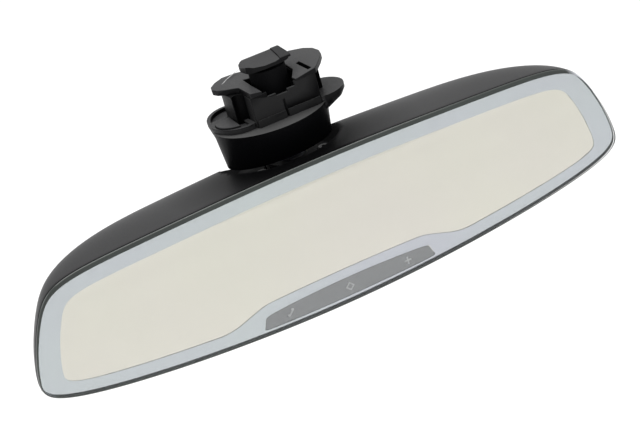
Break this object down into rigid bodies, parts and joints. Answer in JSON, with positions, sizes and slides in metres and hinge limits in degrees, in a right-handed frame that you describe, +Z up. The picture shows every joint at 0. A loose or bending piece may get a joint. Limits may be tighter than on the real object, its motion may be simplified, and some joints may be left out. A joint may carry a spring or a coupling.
{
  "type": "interior rearview mirror",
  "caption": "Frameless auto-dimming interior mirror head on a ball joint, with a short oval stem and a twist-lock windscreen foot.",
  "frame": {"origin": "middle of the foot's seat, on the stem and lock-head axis", "axes": "+Z up the stem and out of the foot, -Y towards the driver (the glass faces -Y), +X along the mirror to the viewer's right"},
  "size_m": [0.2406, 0.0459, 0.0945],
  "materials": {
    "clear_glass": "polished, ground edge",
    "silver_band": "mirror coating",
    "smoked_window": "smooth",
    "icon_ink": "printed",
    "seal_black": "cured seal",
    "gel": "clear gel",
    "mirror_glass": "warm silver",
    "bus_metal": "plated strip",
    "foam": "foam",
    "foil": "polyimide film",
    "carrier_plastic": "moulded",
    "diffuser": "milky",
    "board_green": "solder mask",
    "chip_black": "moulded package",
    "led": "clear",
    "lens_dark": "smoked lens",
    "clear_plastic": "polished",
    "shell_plastic": "fine satin grain",
    "die_cast": "zinc die casting",
    "spring_steel": "bright",
    "liner": "acetal",
    "stem_plastic": "semi-gloss",
    "foot_plastic": "glass-filled",
    "foot_grey": "satin"
  },
  "bodies": {
    "mount": {"ball_stud": "die_cast", "stud_screws": "spring_steel", "stem_shell": "stem_plastic", "flange_plate": "foot_grey", "cable_bridge": "foot_grey", "flange_pad": "foot_grey", "harness_header": "chip_black", "foot_body": "foot_plastic", "wing_plate": "foot_grey", "foot_screws": "spring_steel", "lock_spring": "spring_steel"},
    "ball": {"ball": "die_cast"},
    "liner": {"ball_liner": "liner"},
    "head": {"front_glass": "clear_glass", "reflector_ring": "silver_band", "touch_window": "smoked_window", "window_icons": "icon_ink", "gel_seal": "seal_black", "dimming_gel": "gel", "rear_glass": "mirror_glass", "upper_bus_clip": "bus_metal", "lower_bus_clip": "bus_metal", "foam_pad": "foam", "touch_foil": "foil", "glass_carrier": "carrier_plastic", "light_pipe": "diffuser", "circuit_board": "board_green", "control_chips": "chip_black", "status_leds": "led", "glare_sensor": "lens_dark", "ambient_sensor": "lens_dark", "light_guide": "clear_plastic", "sensor_lens": "lens_dark", "board_screws": "spring_steel", "rear_shell": "shell_plastic", "socket_bracket": "die_cast", "socket_cap": "carrier_plastic", "clamp_ring": "spring_steel", "bracket_screws": "spring_steel", "cap_screws": "spring_steel"},
    "lock": {"lock_head": "foot_grey", "lock_cap": "foot_plastic", "lock_clip": "spring_steel"}
  },
  "joints": [
    {"name": "pan", "type": "hinge", "parent": "mount", "child": "ball", "pos_m": [0, -0.001, -0.0385], "axis": [0, 0, 1], "range_deg": [-12, 12]},
    {"name": "tilt", "type": "hinge", "parent": "ball", "child": "liner", "pos_m": [0, -0.001, -0.0385], "axis": [1, 0, 0], "range_deg": [-10, 10]},
    {"name": "roll", "type": "hinge", "parent": "liner", "child": "head", "pos_m": [0, -0.001, -0.0385], "axis": [0, 1, 0], "range_deg": [-4, 4]},
    {"name": "lock_lift", "type": "slide", "parent": "mount", "child": "lock", "axis": [0, 0, 1], "range_m": [0, 0.0025], "stiffness_N_per_m": 1500, "springref_m": -0.004, "deforming": ["lock_spring"]}
  ]
}
